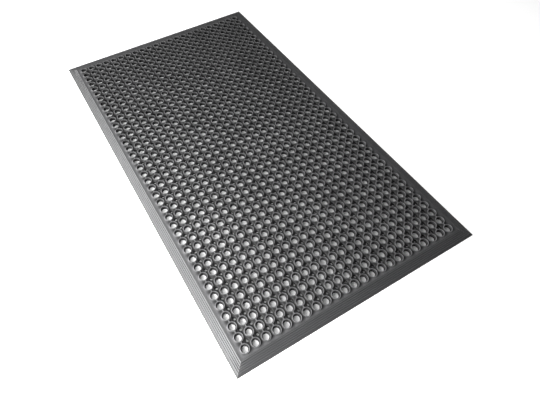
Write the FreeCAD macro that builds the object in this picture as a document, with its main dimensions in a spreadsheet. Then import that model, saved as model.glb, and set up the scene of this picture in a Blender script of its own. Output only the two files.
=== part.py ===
import FreeCAD, Part
import os

import Sketcher

# Anti fatigue drainage mat: a perforated rubber deck with a bevelled ramp bonded along each side.
# The origin is the middle of the mat's footprint on the floor. +Z is up and +Y runs along the
# mat's length. All lengths are in millimetres.

DIMENSIONS = {
    "mat_width": 900,
    "mat_length": 1500,
    # Heights above the floor.
    "flange_top": 3,
    "deck_top": 10,
    "ring_top": 13,
    # The deck's round holes are on a square grid. Each one is a funnel inside a raised ring.
    "pitch": 35.55,
    "hole_columns": 23,
    "hole_rows": 40,
    "hole_top_radius": 13.4,
    "hole_bottom_radius": 9.4,
    "ring_radius": 16.5,
    # A small tapered drain hole stands in the middle of every four rings.
    "drain_top_radius": 5.6,
    "drain_bottom_radius": 3.4,
    # Each ramp slopes up from a thin lip and lies on the deck's flange at its inner edge.
    "ramp_width": 36,
    "ramp_lip": 1.5,
    "lap_width": 12,
    # Tread lines run the length of each ramp. Their pitch is measured up the slope.
    "tread_lines": 5,
    "tread_first": 9.1,
    "tread_pitch": 5.68,
    "tread_width": 2.4,
    "tread_crest": 1.2,
    "tread_height": 0.8,
    "tread_root": 0.6,
}


def make_sheet(doc):
    """The driving dimensions: names in column A, values with aliases in column B."""
    sheet = doc.addObject("Spreadsheet::Sheet", "Dimensions")
    for row, (alias, value) in enumerate(DIMENSIONS.items(), start=1):
        sheet.set(f"A{row}", alias)
        sheet.set(f"B{row}", str(value))
        sheet.setAlias(f"B{row}", alias)
    doc.recompute()
    return sheet


def origin_feature(body, role):
    return next(feature for feature in body.Origin.OriginFeatures if feature.Role == role)


def value(thing, expression):
    return float(thing.evalExpression(expression))


def add_sketch(body, name, role):
    """A sketch lying on one of the body's own origin planes."""
    sketch = body.newObject("Sketcher::SketchObject", name)
    sketch.AttachmentSupport = [(origin_feature(body, role), "")]
    sketch.MapMode = "FlatFace"
    return sketch


def drive_point(sketch, line, end, place):
    """Hold one end of a line at a place given by two expressions, each measured from the origin."""
    for kind, axis, expression in (("DistanceX", -2, place[0]), ("DistanceY", -1, place[1])):
        if expression == "0":
            sketch.addConstraint(Sketcher.Constraint("PointOnObject", line, end, axis))
            continue
        distance = value(sketch, expression)
        index = sketch.addConstraint(Sketcher.Constraint(kind, -1, 1, line, end, distance))
        sketch.setExpression(f"Constraints[{index}]", expression)


def add_outline(sketch, corners):
    """A closed outline through corners, whose coordinates are expressions."""
    points = [FreeCAD.Vector(value(sketch, x), value(sketch, y)) for x, y in corners]
    first = sketch.GeometryCount
    for start, end in zip(points, points[1:] + points[:1]):
        sketch.addGeometry(Part.LineSegment(start, end), False)
    for index, corner in enumerate(corners):
        line = first + index
        following = first + (index + 1) % len(corners)
        sketch.addConstraint(Sketcher.Constraint("Coincident", line, 2, following, 1))
        drive_point(sketch, line, 1, corner)


def add_centred_rectangle(sketch, half_width, half_length):
    corners = []
    for x_sign, y_sign in (("-", "-"), ("", "-"), ("", ""), ("-", "")):
        corners.append((f"{x_sign}({half_width})", f"{y_sign}({half_length})"))
    add_outline(sketch, corners)


def add_pad(body, name, sketch, length, centred=False):
    pad = body.newObject("PartDesign::Pad", name)
    pad.Profile = sketch
    pad.Midplane = centred
    pad.setExpression("Length", length)
    return pad


def make_panel(doc):
    """The deck before its rings and holes: a flat panel with a thin flange all round for the ramps."""
    body = doc.addObject("PartDesign::Body", "panel")
    layers = {
        "flange": ("(Dimensions.ramp_width - Dimensions.lap_width)", "Dimensions.flange_top"),
        "top": ("Dimensions.ramp_width", "Dimensions.deck_top"),
    }
    for name, (inset, height) in layers.items():
        outline = add_sketch(body, f"{name}_outline", "XY_Plane")
        half_width = f"Dimensions.mat_width / 2 - {inset}"
        half_length = f"Dimensions.mat_length / 2 - {inset}"
        add_centred_rectangle(outline, half_width, half_length)
        add_pad(body, name, outline, height)
    return body


def make_grid(shape, pitch, columns, rows):
    """Copies of one upright shape on a square grid centred on the mat."""
    copies = []
    for row in range(rows):
        for column in range(columns):
            copy = shape.copy()
            x = (column - (columns - 1) / 2) * pitch
            y = (row - (rows - 1) / 2) * pitch
            copy.translate(FreeCAD.Vector(x, y, 0))
            copies.append(copy)
    return copies


def make_deck(doc, sheet):
    """The panel joined to its rings in one boolean, and cut by all its holes in another.

    The shape is set here because a pattern of this many holes takes minutes to recompute.
    """
    columns = int(sheet.hole_columns)
    rows = int(sheet.hole_rows)
    up = FreeCAD.Vector(0, 0, 1)
    ring = Part.makeCylinder(sheet.ring_radius, sheet.ring_top - sheet.deck_top, up * sheet.deck_top)
    hole = Part.makeCone(sheet.hole_bottom_radius, sheet.hole_top_radius, sheet.ring_top)
    drain = Part.makeCone(sheet.drain_bottom_radius, sheet.drain_top_radius, sheet.deck_top)
    rings = make_grid(ring, sheet.pitch, columns, rows)
    holes = make_grid(hole, sheet.pitch, columns, rows)
    drains = make_grid(drain, sheet.pitch, columns - 1, rows - 1)

    panel = make_panel(doc)
    doc.recompute()
    blank = Part.getShape(panel, noElementMap=True).fuse(rings)
    deck = doc.addObject("Part::Feature", "perforated_deck")
    deck.Label = "perforated_deck"
    deck.Shape = blank.cut(holes + drains).Solids[0]
    return deck


def add_treads(body, length):
    """One tread line on the slope, repeated up it."""
    sketch = add_sketch(body, "tread_profile", "YZ_Plane")
    rise = "(Dimensions.deck_top - Dimensions.ramp_lip) / Dimensions.ramp_width"

    def on_slope(across, above):
        u = f"(Dimensions.tread_first + {across})"
        return (u, f"Dimensions.ramp_lip + {u} * {rise} + {above}")

    half_foot = "Dimensions.tread_width / 2"
    half_crest = "Dimensions.tread_crest / 2"
    corners = [
        on_slope(f"-{half_foot}", "-Dimensions.tread_root"),
        on_slope(half_foot, "-Dimensions.tread_root"),
        on_slope(half_crest, "Dimensions.tread_height"),
        on_slope(f"-{half_crest}", "Dimensions.tread_height"),
    ]
    add_outline(sketch, corners)
    run = "Dimensions.ramp_width"
    climb = "Dimensions.deck_top - Dimensions.ramp_lip"
    slope_end = FreeCAD.Vector(value(sketch, run), value(sketch, climb))
    slope = sketch.addGeometry(Part.LineSegment(FreeCAD.Vector(), slope_end), True)
    sketch.addConstraint(Sketcher.Constraint("Coincident", slope, 1, -1, 1))
    drive_point(sketch, slope, 2, (run, climb))
    tread = add_pad(body, "tread", sketch, length, centred=True)

    treads = body.newObject("PartDesign::LinearPattern", "treads")
    treads.Originals = [tread]
    treads.Direction = (sketch, ["Axis0"])
    treads.Mode = "Spacing"
    treads.setExpression("Offset", "Dimensions.tread_pitch")
    treads.setExpression("Occurrences", "Dimensions.tread_lines")
    body.Tip = treads


def cut_mitres(body, length):
    """Cut both ends at 45 degrees, so that the ramps meet along the mat's corner lines."""
    sketch = add_sketch(body, "mitre_outline", "XY_Plane")
    width = "Dimensions.ramp_width"
    for sign in ("", "-"):
        outer_end = f"{sign}({length} / 2)"
        inner_end = f"{sign}({length} / 2 - {width})"
        add_outline(sketch, [(outer_end, "0"), (outer_end, width), (inner_end, width)])
    mitres = body.newObject("PartDesign::Pocket", "mitres")
    mitres.Profile = sketch
    mitres.Type = "ThroughAll"
    mitres.Reversed = True
    body.Tip = mitres


def make_ramp(doc, label, length, turn, place):
    """A ramp whose outer edge is on its own X axis and which slopes up along its own +Y."""
    body = doc.addObject("PartDesign::Body", label)
    body.Label = label
    profile = add_sketch(body, "ramp_profile", "YZ_Plane")
    lap_start = "Dimensions.ramp_width - Dimensions.lap_width"
    corners = [
        ("0", "0"),
        (lap_start, "0"),
        (lap_start, "Dimensions.flange_top"),
        ("Dimensions.ramp_width", "Dimensions.flange_top"),
        ("Dimensions.ramp_width", "Dimensions.deck_top"),
        ("0", "Dimensions.ramp_lip"),
    ]
    add_outline(profile, corners)
    add_pad(body, "slope", profile, length, centred=True)
    doc.recompute()
    add_treads(body, length)
    doc.recompute()
    before = body.Shape.Volume
    cut_mitres(body, length)
    doc.recompute()
    if not body.Shape.Volume < before:
        raise RuntimeError(f"{label}: the mitres cut nothing")
    body.Placement.Rotation = FreeCAD.Rotation(FreeCAD.Vector(0, 0, 1), turn)
    for axis, expression in place.items():
        body.setExpression(f"Placement.Base.{axis}", expression)
    return body


def check(doc, parts):
    doc.recompute()
    for thing in doc.Objects:
        if "Invalid" in thing.State or "Error" in thing.State:
            raise RuntimeError(f"{thing.Label}: {thing.State}")
    for part in parts:
        if part.Shape.isNull() or not part.Shape.isValid() or len(part.Shape.Solids) != 1:
            raise RuntimeError(f"{part.Label}: not one valid solid")


def main():
    doc = FreeCAD.newDocument("anti_fatigue_mat")
    sheet = make_sheet(doc)
    parts = [
        make_ramp(doc, "ramp_front", "Dimensions.mat_width", 0, {"y": "-Dimensions.mat_length / 2"}),
        make_ramp(doc, "ramp_right", "Dimensions.mat_length", 90, {"x": "Dimensions.mat_width / 2"}),
        make_ramp(doc, "ramp_back", "Dimensions.mat_width", 180, {"y": "Dimensions.mat_length / 2"}),
        make_ramp(doc, "ramp_left", "Dimensions.mat_length", 270, {"x": "-Dimensions.mat_width / 2"}),
        make_deck(doc, sheet),
    ]
    check(doc, parts)
    os.makedirs("parts", exist_ok=True)
    for part in parts:
        part.Shape.exportStep(f"parts/{part.Label}.step")


main()
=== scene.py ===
"""Looks of the anti fatigue mat: a perforated rubber deck with a ribbed, mitred ramp along each side."""

import math

import bpy
import numpy as np
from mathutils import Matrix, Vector


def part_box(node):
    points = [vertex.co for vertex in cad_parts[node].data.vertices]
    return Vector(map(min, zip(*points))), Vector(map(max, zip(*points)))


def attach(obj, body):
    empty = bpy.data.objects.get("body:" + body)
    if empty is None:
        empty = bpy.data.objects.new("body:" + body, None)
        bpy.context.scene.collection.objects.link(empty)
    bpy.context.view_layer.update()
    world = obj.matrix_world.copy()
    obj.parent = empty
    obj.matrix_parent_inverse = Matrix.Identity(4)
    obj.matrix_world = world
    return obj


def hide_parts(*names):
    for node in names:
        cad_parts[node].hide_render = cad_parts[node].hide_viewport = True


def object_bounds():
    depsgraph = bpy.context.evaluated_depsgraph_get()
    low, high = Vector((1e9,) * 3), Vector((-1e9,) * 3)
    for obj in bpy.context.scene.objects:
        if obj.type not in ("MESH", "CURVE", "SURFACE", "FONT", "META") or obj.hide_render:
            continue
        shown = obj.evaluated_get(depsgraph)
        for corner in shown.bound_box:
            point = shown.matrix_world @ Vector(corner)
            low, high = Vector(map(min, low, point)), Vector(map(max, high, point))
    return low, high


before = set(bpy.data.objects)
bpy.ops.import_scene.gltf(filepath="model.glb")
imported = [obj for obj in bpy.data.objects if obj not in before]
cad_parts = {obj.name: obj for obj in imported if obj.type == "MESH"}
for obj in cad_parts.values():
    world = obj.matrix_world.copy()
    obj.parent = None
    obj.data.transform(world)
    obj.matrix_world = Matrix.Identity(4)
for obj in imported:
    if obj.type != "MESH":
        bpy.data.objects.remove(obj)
cad_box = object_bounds()

MM = 0.001
# Angle between two faces, in degrees, above which the edge between them is shaded sharp.
SHARP_ANGLE = 42

# ---------------------------------------------------------------- the deck's sizes, in millimetres
PITCH = 35.55
HALF = PITCH / 2
COLUMNS = 23
ROWS = 40
ROWS_PER_BLOCK = 5
DECK_TOP = 10.0
FLANGE_TOP = 3.0

# Radius and height, from a hole's mouth underneath, up its wall, over its ring and down to the deck.
RING_SECTION = [
    (9.8, 0.0),
    (9.4, 0.6),
    (11.5, 9.6),
    (11.9, 11.3),
    (12.4, 12.3),
    (13.0, 12.85),
    (13.6, 13.0),
    (14.2, 12.8),
    (14.8, 12.2),
    (15.4, 11.2),
    (15.9, 10.4),
    (16.6, DECK_TOP),
]
# Radius and height, from the edge of a drain's shallow dish down its wall to its mouth underneath.
DRAIN_SECTION = [(7.6, DECK_TOP), (7.0, 9.85), (5.7, 9.1), (5.1, 8.3), (3.9, 1.0), (4.1, 0.0)]
DISH_RADIUS = DRAIN_SECTION[0][0]
# Half width and height, from the crest outwards, of the rib that ties a ring to the next one.
RIB_SECTION = [(0.0, 12.7), (1.2, 12.6), (2.0, 12.0), (2.5, DECK_TOP)]
# Distance from the hole's middle where the rib has those widths, and where it leaves the ring's crest.
RIB_MIDDLE = 17.0
RIB_FROM = 14.0

# Rays in a quarter of a hole: between an axis and the drain's dish, and across the dish.
RAYS_BESIDE_DISH = 4
RAYS_ACROSS_DISH = 5
# Angles this close together, in degrees, count as the same.
SAME_ANGLE = 0.001
# Points in one cell of this fine grid are joined. Its offset keeps shared points off its lines.
WELD_CELLS_PER_MM = 500
WELD_OFFSET = 0.137

# ---------------------------------------------------------------- the ramps' sizes, in millimetres
RAMP_WIDTH = 36.0
LAP_WIDTH = 12.0
RAMP_LIP = 1.5
RAMP_RISE = (DECK_TOP - RAMP_LIP) / RAMP_WIDTH
TREADS = 5
TREAD_FIRST = 9.1
TREAD_PITCH = 5.53
# Distance from a tread line's middle, and height above the slope.
TREAD_SECTION = [
    (-1.3, 0.0),
    (-0.9, 0.34),
    (-0.45, 0.7),
    (0.0, 0.8),
    (0.45, 0.7),
    (0.9, 0.34),
    (1.3, 0.0),
]
# The ramp's soft edge along the deck: distance back from the seam and depth below the deck's top, and
# the distance back where the slope begins.
SEAM_SECTION = [(0.0, 0.6), (0.2, 0.25)]
SEAM_WIDTH = 0.8
# Where the plain slope outside the first tread line runs, and the lip's soft edge down to the floor:
# distance inwards, and depth below the lip's top.
LIP_SLOPE = [5.0, 1.6]
LIP_SECTION = [(0.7, 0.0), (0.2, 0.35), (0.0, 0.8), (0.1, 1.25), (0.5, RAMP_LIP)]
# How far a ramp's ends are rounded over at the mitre, and how many sections it has along its length.
MITRE_ROUND = 0.3
RAMP_STATIONS = 31

# ---------------------------------------------------------------- finishes
# Distances from the mat's middle, in millimetres, where the deck's margin, painted paler as painted
# light where the rings cast no shade, starts and is full.
PAINTED_LIGHT_MARGIN = {"x": (400.0, 408.0), "y": (702.0, 710.0)}
# Heights, in millimetres, where the paler crests of the rings, scuffing and a painted highlight, start
# and where they are full.
RING_WEAR_AND_HIGHLIGHT = (12.0, 12.95)
# The same for the scuffing of the tread lines, as heights above the ramps' slope.
TREAD_WEAR = (0.3, 0.75)

# Greys of the deck between its rings, clean, dusty and on its margin, and the grey of the ramps.
# Between its rings the deck is painted darker than the ramps as painted shade, and its margin paler as
# painted light.
DECK_CLEAN = 0.01
DECK_DUSTY = 0.015
DECK_MARGIN_PAINTED_LIGHT = 0.06
RAMP_GREY = 0.04
# Blue in every grey, as a share of its red and green.
BLUE_SHARE = 1.03
# Grey of the paler tops, which on the deck's rings is scuffing and a painted highlight, roughness below
# and on the tops, and strength of the reflection.
# The deck's grey of the tops is a painted highlight on the ring crests as well as scuffing.
DECK_RUBBER = {"worn_and_highlit": 0.15, "roughness": (0.6, 0.42), "specular": 0.3}
RAMP_RUBBER = {"worn_and_highlit": 0.07, "roughness": (0.45, 0.42), "specular": 0.5}
RUBBER_IOR = 1.5
# Patches of dust, and of stronger scuffing: the noise, its levels where a patch starts and is full, and
# how strong the effect is at each of those.
DUST = {"scale": 5.0, "detail": 4.0, "levels": (0.35, 0.7), "strength": (0.0, 1.0)}
SCUFFS = {"scale": 9.0, "detail": 3.0, "levels": (0.3, 0.7), "strength": (0.5, 1.0)}
# The rubber's fine grain, with its height in metres.
GRAIN_SCALE = 900.0
GRAIN_DETAIL = 2.0
GRAIN_STRENGTH = 0.25
GRAIN_HEIGHT = 0.0004

# A Mix node has colour sockets with the same names as its number sockets, so they go by position.
MIX_COLOUR_INPUTS = (6, 7)
MIX_COLOUR_OUTPUT = 2

# ---------------------------------------------------------------- studio, in metres, watts and degrees
PAPER_GREY = 0.95
PAPER_ROUGHNESS = 0.9
# Size, depth below the mat's underside, and glow of each sheet of paper. The floor glows so that it
# stays pale beyond the lights' reach, but the sheet right under the mat doesn't.
PAPERS = {
    "studio_floor": ((14, 14), 0.0003, 0.42),
    "paper_under_mat": ((0.88, 1.48), 0.0001, 0.0),
}
# The backdrop is pale to look at, and lights the room only faintly.
ROOM_LIGHT = 0.06
BACKDROP_LIGHT = 0.85
MIDDLE = (0, 0, 0)
# Place, point that it faces, width, height and power of each light.
LIGHTS = {
    "near_left_softbox": ((-1.25, -0.75, 0.5), (-0.4, -0.5, 0), 0.8, 0.5, 45),
    "left_softbox": ((-1.5, 0.1, 0.6), (-0.3, 0, 0), 1.0, 0.5, 20),
    "near_left_overhead": ((-0.8, -0.6, 1.2), (-0.35, -0.4, 0), 0.5, 0.5, 3.5),
    "left_overhead": ((-0.8, -0.25, 0.9), (-0.4, -0.15, 0), 0.5, 0.5, 5),
    "low_window": ((-3.2, 2.0, 0.5), MIDDLE, 1.6, 0.6, 60),
    "window": ((-3.2, 2.0, 1.3), MIDDLE, 1.4, 1.2, 20),
    "high_window": ((-1.8, 1.6, 1.9), MIDDLE, 0.8, 0.8, 50),
    "back_window": ((-2.6, 3.0, 1.6), MIDDLE, 1.4, 1.2, 74),
    "overhead": ((0.3, 1.5, 2.2), MIDDLE, 1.2, 1.2, 7),
    # This one looks past the mat, which lies behind it, and whitens only the floor beyond.
    "background_light": ((0.6, 0, 1.0), (1.6, 0, 0.88), 1.2, 0.3, 6),
}
CAMERA_PLACE = (-0.5764, -0.9162, 1.1815)
CAMERA_TURN = (33.594, 1.126, -29.152)
CAMERA_CLIP = 0.01
# The lens and the sensor are in millimetres, and the shift is a share of the sensor.
CAMERA_LENS = 26.929
CAMERA_SENSOR = 36
CAMERA_SHIFT = 0.0969


def make_piece(name, points, faces, node, material):
    """A smooth-shaded mesh piece that stands for a CAD node. Points are in millimetres."""
    mesh = bpy.data.meshes.new(name)
    mesh.vertices.add(len(points))
    mesh.vertices.foreach_set("co", (np.asarray(points) * MM).astype(np.float32).ravel())
    sizes = np.array([len(face) for face in faces])
    mesh.loops.add(int(sizes.sum()))
    mesh.loops.foreach_set("vertex_index", np.concatenate(faces).astype(np.int32))
    mesh.polygons.add(len(faces))
    mesh.polygons.foreach_set("loop_start", (np.cumsum(sizes) - sizes).astype(np.int32))
    mesh.polygons.foreach_set("use_smooth", np.ones(len(faces), bool))
    mesh.update(calc_edges=True)
    mesh.validate()
    mesh.set_sharp_from_angle(angle=math.radians(SHARP_ANGLE))
    piece = bpy.data.objects.new(name, mesh)
    bpy.context.scene.collection.objects.link(piece)
    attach(piece, "root")
    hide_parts(node)
    mesh.materials.append(material)


# ---------------------------------------------------------------- the deck
# Angle from either axis where the side of a cell runs into the drain's dish.
DISH_START = math.degrees(math.atan((HALF - DISH_RADIUS) / HALF))
# Height of the rib at the angles, from the X axis, of the points of its section.
RIB_HEIGHTS = {90 - math.degrees(math.asin(half / RIB_MIDDLE)): height for half, height in RIB_SECTION}


def quadrant_angles():
    """Angles of the rays from the X axis round to the Y axis, in degrees."""
    angles = set(RIB_HEIGHTS)
    angles.update(np.linspace(0, DISH_START, RAYS_BESIDE_DISH))
    angles.update(np.linspace(DISH_START, 90 - DISH_START, RAYS_ACROSS_DISH))
    angles.update(np.linspace(90 - DISH_START, min(RIB_HEIGHTS), RAYS_BESIDE_DISH)[:-1])
    return sorted(angles)


def circle_rays():
    """Every ray round a hole: (sign of x, sign of y, angle within its quadrant), anticlockwise."""
    angles = quadrant_angles()
    rays = [(1, 1, a) for a in angles]
    rays += [(-1, 1, a) for a in reversed(angles[:-1])]
    rays += [(-1, -1, a) for a in angles[1:]]
    rays += [(1, -1, a) for a in reversed(angles[1:-1])]
    return rays


RAYS = circle_rays()


def drain_column(sx, sy, angle):
    """Points down a drain hole's wall, below the place where a ray from the ring meets its dish."""
    ray = Vector((math.cos(math.radians(angle)), math.sin(math.radians(angle))))
    centre = Vector((HALF, HALF))
    along = centre.dot(ray)
    meet = ray * (along - math.sqrt(max(along**2 - centre.length_squared + DISH_RADIUS**2, 0)))
    out = (meet - centre).normalized()
    return [(sx * (HALF + out.x * r), sy * (HALF + out.y * r), z) for r, z in DRAIN_SECTION]


def side_column(sx, sy, angle, sides, reach, top):
    """Points down the side of a cell where a ray meets it, with the flange where the deck ends."""
    slope = math.tan(math.radians(angle))
    on_x = angle <= 45 + SAME_ANGLE
    on_y = angle >= 45 - SAME_ANGLE
    edge_x = on_x and sides["x", sx] == "deck_edge"
    edge_y = on_y and sides["y", sy] == "deck_edge"
    x = reach["x"] if edge_x else HALF
    y = reach["y"] if edge_y else HALF
    if not on_y:
        y = HALF * slope
    if not on_x:
        x = HALF / slope if angle < 90 - SAME_ANGLE else 0.0
    place = (sx * x, sy * y)
    if not (edge_x or edge_y):
        return [(*place, top), (*place, 0.0)]
    out_x = LAP_WIDTH if edge_x else 0
    out_y = LAP_WIDTH if edge_y else 0
    far = (sx * (x + out_x), sy * (y + out_y))
    return [(*place, top), (*place, FLANGE_TOP), (*far, FLANGE_TOP), (*far, 0.0)]


def make_cell(sides, reach):
    """One hole with its ring and the deck round it, as points and faces.

    sides says what is beyond each side: the next "cell", where it is left open, the "block_edge", or the
    "deck_edge", where it has the flange. Its keys are an axis and a sign.
    """
    points = []
    faces = []

    def add(values):
        points.extend(values)
        return list(range(len(points) - len(values), len(points)))

    rings = []
    columns = []
    drained = []
    for sx, sy, angle in RAYS:
        has_rib = sides["y", sy] != "deck_edge" and angle in RIB_HEIGHTS
        rib = RIB_HEIGHTS[angle] if has_rib else 0.0
        c = sx * math.cos(math.radians(angle))
        s = sy * math.sin(math.radians(angle))
        rings.append(add([(r * c, r * s, max(z, rib) if r > RIB_FROM else z) for r, z in RING_SECTION]))
        drain = sides["x", sx] != "deck_edge" and sides["y", sy] != "deck_edge"
        on_dish = DISH_START - SAME_ANGLE <= angle <= 90 + SAME_ANGLE - DISH_START
        if drain and on_dish:
            columns.append(add(drain_column(sx, sy, angle)))
        else:
            columns.append(add(side_column(sx, sy, angle, sides, reach, max(DECK_TOP, rib))))
        drained.append(drain)

    for i, (sx, sy, angle) in enumerate(RAYS):
        j = (i + 1) % len(RAYS)
        ring, next_ring = rings[i], rings[j]
        column, next_column = columns[i], columns[j]
        for k in range(len(RING_SECTION) - 1):
            faces.append([ring[k], ring[k + 1], next_ring[k + 1], next_ring[k]])
        faces.append([ring[-1], column[0], next_column[0], next_ring[-1]])
        faces.append([column[-1], ring[0], next_ring[0], next_column[-1]])

        middle = (angle + RAYS[j][2]) / 2
        if drained[i] and drained[j] and DISH_START < middle < 90 - DISH_START:
            closed = "drain"
        elif middle < 45:
            closed = sides["x", sx]
        else:
            closed = sides["y", sy]
        if closed in ("drain", "deck_edge"):
            for k in range(len(column) - 1):
                faces.append([column[k], column[k + 1], next_column[k + 1], next_column[k]])
        elif closed == "block_edge":
            faces.append(column + next_column[::-1])
    return np.array(points), faces


def weld(points, faces):
    """Join points that are in the same place."""
    keys = np.round(points * WELD_CELLS_PER_MM + WELD_OFFSET).astype(np.int64)
    _, first, where = np.unique(keys, axis=0, return_index=True, return_inverse=True)
    where = where.ravel()
    return points[first], [where[face] for face in faces]


def side_kind(index, deck_end, block_end=None):
    """What is beyond one side of a cell, from its row or column and the last ones on that side."""
    if index == deck_end:
        return "deck_edge"
    return "block_edge" if index == block_end else "cell"


def make_block(index, first_row, reach, material):
    """A few rows of the deck as one closed piece."""
    cells = {}
    points = []
    faces = []
    total = 0
    last_row = first_row + ROWS_PER_BLOCK - 1
    for row in range(first_row, last_row + 1):
        for column in range(COLUMNS):
            west = side_kind(column, 0)
            east = side_kind(column, COLUMNS - 1)
            south = side_kind(row, 0, first_row)
            north = side_kind(row, ROWS - 1, last_row)
            key = (west, east, south, north)
            if key not in cells:
                sides = {("x", -1): west, ("x", 1): east, ("y", -1): south, ("y", 1): north}
                cells[key] = make_cell(sides, reach)
            cell_points, cell_faces = cells[key]
            place = ((column - (COLUMNS - 1) / 2) * PITCH, (row - (ROWS - 1) / 2) * PITCH, 0)
            points.append(cell_points + np.array(place))
            faces += [np.array(face) + total for face in cell_faces]
            total += len(cell_points)
    points, faces = weld(np.concatenate(points), faces)
    make_piece(f"deck_block_{index}", points, faces, "perforated_deck", material)


def make_deck(material):
    """The deck, in blocks of a few rows each."""
    _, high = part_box("perforated_deck")
    # The outermost cells reach out to the seam with the ramps, short of the flange.
    reach = {
        "x": high.x / MM - LAP_WIDTH - (COLUMNS - 1) * HALF,
        "y": high.y / MM - LAP_WIDTH - (ROWS - 1) * HALF,
    }
    for index, first_row in enumerate(range(0, ROWS, ROWS_PER_BLOCK), start=1):
        make_block(index, first_row, reach, material)


# ---------------------------------------------------------------- the ramps
def ramp_section():
    """The ramp's outline: distance inwards from its lip and height, anticlockwise from its lap."""

    def slope(u, above=0.0):
        return (u, RAMP_LIP + RAMP_RISE * u + above)

    lap = RAMP_WIDTH - LAP_WIDTH
    outline = [(lap, 0.0), (lap, FLANGE_TOP), (RAMP_WIDTH, FLANGE_TOP)]
    outline += [(RAMP_WIDTH - back, DECK_TOP - depth) for back, depth in SEAM_SECTION]
    outline.append(slope(RAMP_WIDTH - SEAM_WIDTH))
    for tread in reversed(range(TREADS)):
        middle = TREAD_FIRST + tread * TREAD_PITCH
        outline += [slope(middle + across, above) for across, above in reversed(TREAD_SECTION)]
    outline += [slope(u) for u in LIP_SLOPE]
    outline += [(u, RAMP_LIP - depth) for u, depth in LIP_SECTION]
    return outline


def make_ramp(node, outer, inward, along, material):
    """A mitred ramp. outer is the middle of its lip, and inward and along are its directions."""
    low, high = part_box(node)
    half = max(high.x - low.x, high.y - low.y) / MM / 2
    section = ramp_section()
    count = len(section)
    middle = np.mean(section, axis=0)
    # Stations along the ramp, as shares of its half length. The two at each end round off the mitre.
    stations = np.concatenate([[-1.0], np.linspace(-1, 1, RAMP_STATIONS), [1.0]])
    points = []
    for index, share in enumerate(stations):
        from_end = min(index, len(stations) - 1 - index)
        for u, z in section:
            t = share * (half - u)
            if from_end == 1:
                t -= math.copysign(2 * MITRE_ROUND, share)
            elif from_end == 0:
                pull = np.array([middle[0] - u, middle[1] - z])
                u, z = np.array([u, z]) + pull / np.linalg.norm(pull) * MITRE_ROUND
            points.append(outer + inward * u + along * t + np.array([0, 0, z]))
    faces = []
    for a in range(len(stations) - 1):
        for k in range(count):
            m = (k + 1) % count
            faces.append([a * count + k, a * count + m, (a + 1) * count + m, (a + 1) * count + k])
    faces.append(list(range(count))[::-1])
    faces.append([(len(stations) - 1) * count + k for k in range(count)])
    if np.cross(inward, along)[2] > 0:
        faces = [face[::-1] for face in faces]
    make_piece(f"{node}_strip", points, faces, node, material)


def make_ramps(material):
    """The four ramps, each set out from the middle of one side of the mat."""
    low, high = (np.array(corner) / MM for corner in cad_box)
    x_axis = np.array([1.0, 0, 0])
    y_axis = np.array([0, 1.0, 0])
    make_ramp("ramp_left", x_axis * low[0], x_axis, y_axis, material)
    make_ramp("ramp_right", x_axis * high[0], -x_axis, y_axis, material)
    make_ramp("ramp_front", y_axis * low[1], y_axis, x_axis, material)
    make_ramp("ramp_back", y_axis * high[1], -y_axis, x_axis, material)


# ---------------------------------------------------------------- materials
def add_node(tree, kind, offset, **values):
    node = tree.nodes.new(kind)
    node.location = offset
    for name, value in values.items():
        node.inputs[name].default_value = value
    return node


def add_range(tree, value, offset, low, high, from_low=0.0, from_high=1.0):
    """Map a value from one range onto another, clamped."""
    limits = {"From Min": from_low, "From Max": from_high, "To Min": low, "To Max": high}
    spread = add_node(tree, "ShaderNodeMapRange", offset, **limits)
    tree.links.new(value, spread.inputs["Value"])
    return spread.outputs["Result"]


def add_noise(tree, place, offset, scale, detail):
    noise = add_node(tree, "ShaderNodeTexNoise", offset, Scale=scale, Detail=detail)
    tree.links.new(place.outputs["Object"], noise.inputs["Vector"])
    return noise.outputs["Fac"]


def add_patches(tree, place, offset, scale, detail, levels, strength):
    """Soft-edged patches of noise: levels are where they start and are full, and strength is at each."""
    noise = add_noise(tree, place, offset, scale, detail)
    return add_range(tree, noise, (offset[0] + 250, offset[1]), *strength, *levels)


def add_mix(tree, factor, first, second, offset):
    """Mix two colours, each a plain grey level or the output of another mix."""
    mix = add_node(tree, "ShaderNodeMix", offset)
    mix.data_type = "RGBA"
    tree.links.new(factor, mix.inputs["Factor"])
    for position, colour in zip(MIX_COLOUR_INPUTS, (first, second)):
        if isinstance(colour, float):
            mix.inputs[position].default_value = (colour, colour, colour * BLUE_SHARE, 1)
        else:
            tree.links.new(colour, mix.inputs[position])
    return mix.outputs[MIX_COLOUR_OUTPUT]


def add_math(tree, operation, first, second, offset):
    """Combine two values, the second of which may be a plain number."""
    math_node = add_node(tree, "ShaderNodeMath", offset)
    math_node.operation = operation
    tree.links.new(first, math_node.inputs[0])
    if isinstance(second, float):
        math_node.inputs[1].default_value = second
    else:
        tree.links.new(second, math_node.inputs[1])
    return math_node.outputs["Value"]


def add_painted_light_margin_mask(tree, split):
    """One on the deck's margin, which is painted paler as painted light, and nought on the field of
    rings.
    """
    masks = []
    for row, (axis, edges) in enumerate(PAINTED_LIGHT_MARGIN.items()):
        distance = add_math(tree, "ABSOLUTE", split.outputs[axis.upper()], 0.0, (-1250, 900 - 150 * row))
        limits = (edge * MM for edge in edges)
        masks.append(add_range(tree, distance, (-1000, 900 - 150 * row), 0.0, 1.0, *limits))
    return add_math(tree, "MAXIMUM", masks[0], masks[1], (-750, 800))


def add_deck_dust_and_painted_shading(tree, place, split):
    """The deck between its rings: clean rubber painted darker as painted shade, patches of dust, and a
    margin painted paler as painted light.
    """
    dust = add_patches(tree, place, (-1250, 400), **DUST)
    field = add_mix(tree, dust, DECK_CLEAN, DECK_DUSTY, (-750, 300))
    # The margin's paler grey is painted light, and the darker field is painted shade between the rings.
    return add_mix(tree, add_painted_light_margin_mask(tree, split), field, DECK_MARGIN_PAINTED_LIGHT, (-600, 500))


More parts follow.
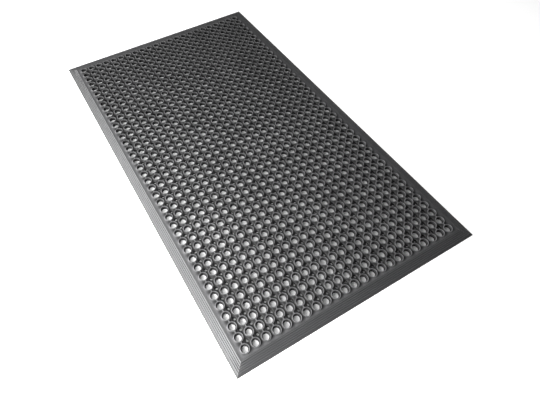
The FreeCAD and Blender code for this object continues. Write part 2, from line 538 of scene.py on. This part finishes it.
def add_ring_wear_and_highlight(tree, split):
    """One on the crests of the rings and ribs, which are painted paler for scuffing and as a painted
    highlight.
    """
    limits = (height * MM for height in RING_WEAR_AND_HIGHLIGHT)
    return add_range(tree, split.outputs["Z"], (-1000, 150), 0.0, 1.0, *limits)


def add_tread_wear(tree, split):
    """One on the crests of the ramps' tread lines."""
    # Distances past the sides of the mat, which are below nought on the mat itself.
    high = cad_box[1]
    past = []
    for row, axis in enumerate("XY"):
        distance = add_math(tree, "ABSOLUTE", split.outputs[axis], 0.0, (-1900, 150 - 150 * row))
        past.append(add_math(tree, "SUBTRACT", distance, float(high[row]), (-1700, 150 - 150 * row)))
    nearest = add_math(tree, "MAXIMUM", past[0], past[1], (-1500, 300))
    # Taking the slope's rise off the height leaves the lip's height and what stands above the slope.
    fall = add_math(tree, "MULTIPLY", nearest, RAMP_RISE, (-1350, 300))
    levelled = add_math(tree, "ADD", fall, split.outputs["Z"], (-1200, 300))
    limits = ((RAMP_LIP + height) * MM for height in TREAD_WEAR)
    return add_range(tree, levelled, (-1000, 150), 0.0, 1.0, *limits)


def make_rubber(name, grey, add_wear, worn_and_highlit, roughness, specular):
    """Black moulded rubber with a fine grain, paler on its tops from scuffing and, on the deck's rings,
    a painted highlight.

    grey is its grey below the tops, or the function that makes it. add_wear makes the mask of the tops,
    and the grey after it is theirs: scuffing, and on the deck's rings a painted highlight too. roughness
    is that of the rubber below and of the tops.
    """
    material = bpy.data.materials.new(name)
    material.use_nodes = True
    tree = material.node_tree
    shader = tree.nodes["Principled BSDF"]
    shader.inputs["IOR"].default_value = RUBBER_IOR
    shader.inputs["Specular IOR Level"].default_value = specular
    place = add_node(tree, "ShaderNodeTexCoord", (-2300, 0))
    split = add_node(tree, "ShaderNodeSeparateXYZ", (-2100, 150))
    tree.links.new(place.outputs["Object"], split.inputs["Vector"])

    below = grey(tree, place, split) if callable(grey) else grey
    tops = add_wear(tree, split)
    scuffs = add_patches(tree, place, (-1250, -50), **SCUFFS)
    scuffed_and_highlit = add_math(tree, "MULTIPLY", tops, scuffs, (-750, 50))
    # On the deck, the paler tops are scuffing and also a painted highlight on the rings' crests.
    colour = add_mix(tree, scuffed_and_highlit, below, worn_and_highlit, (-400, 200))
    tree.links.new(colour, shader.inputs["Base Color"])
    tree.links.new(add_range(tree, tops, (-750, -100), *roughness), shader.inputs["Roughness"])

    grain = add_noise(tree, place, (-750, -500), GRAIN_SCALE, GRAIN_DETAIL)
    relief = {"Strength": GRAIN_STRENGTH, "Distance": GRAIN_HEIGHT}
    bump = add_node(tree, "ShaderNodeBump", (-350, -400), **relief)
    tree.links.new(grain, bump.inputs["Height"])
    tree.links.new(bump.outputs["Normal"], shader.inputs["Normal"])
    return material


# ---------------------------------------------------------------- studio
def add_area_light(name, place, target, width, height, power):
    light = bpy.data.lights.new(name, "AREA")
    light.shape = "RECTANGLE"
    light.size = width
    light.size_y = height
    light.energy = power
    lamp = bpy.data.objects.new(name, light)
    bpy.context.scene.collection.objects.link(lamp)
    lamp.location = place
    lamp.rotation_euler = (Vector(target) - Vector(place)).to_track_quat("-Z", "Y").to_euler()


def add_paper(name, size, below, glow):
    """A sheet of white paper on the floor, which may glow a little."""
    bpy.ops.mesh.primitive_plane_add(size=1, location=(0, 0, -below))
    sheet = bpy.context.object
    sheet.name = name
    sheet.scale = (*size, 1)
    paper = bpy.data.materials.new(name)
    paper.use_nodes = True
    shader = paper.node_tree.nodes["Principled BSDF"]
    shader.inputs["Base Color"].default_value = (PAPER_GREY, PAPER_GREY, PAPER_GREY, 1)
    shader.inputs["Roughness"].default_value = PAPER_ROUGHNESS
    shader.inputs["Emission Color"].default_value = (1, 1, 1, 1)
    shader.inputs["Emission Strength"].default_value = glow
    sheet.data.materials.append(paper)


def make_world():
    """A white backdrop, brighter as the camera sees it than as a light."""
    world = bpy.data.worlds.new("studio_world")
    world.use_nodes = True
    tree = world.node_tree
    sky = tree.nodes["Background"]
    sky.inputs["Color"].default_value = (1, 1, 1, 1)
    rays = add_node(tree, "ShaderNodeLightPath", (-400, 0))
    strength = add_range(tree, rays.outputs["Is Camera Ray"], (-200, 0), ROOM_LIGHT, BACKDROP_LIGHT)
    tree.links.new(strength, sky.inputs["Strength"])
    bpy.context.scene.world = world


def make_studio():
    for name, (size, below, glow) in PAPERS.items():
        add_paper(name, size, below, glow)
    make_world()
    for name, settings in LIGHTS.items():
        add_area_light(name, *settings)
    view = bpy.context.scene.view_settings
    view.view_transform = "Standard"
    view.look = "None"


def make_camera():
    camera = bpy.data.cameras.new("camera")
    camera.sensor_width = CAMERA_SENSOR
    camera.lens = CAMERA_LENS
    camera.shift_x = CAMERA_SHIFT
    camera.clip_start = CAMERA_CLIP
    holder = bpy.data.objects.new("camera", camera)
    bpy.context.scene.collection.objects.link(holder)
    holder.location = CAMERA_PLACE
    holder.rotation_euler = [math.radians(turn) for turn in CAMERA_TURN]
    bpy.context.scene.camera = holder


def main():
    deck_rubber = make_rubber("deck_rubber", add_deck_dust_and_painted_shading, add_ring_wear_and_highlight, **DECK_RUBBER)
    ramp_rubber = make_rubber("ramp_rubber", RAMP_GREY, add_tread_wear, **RAMP_RUBBER)
    make_deck(deck_rubber)
    make_ramps(ramp_rubber)
    make_studio()
    make_camera()


main()
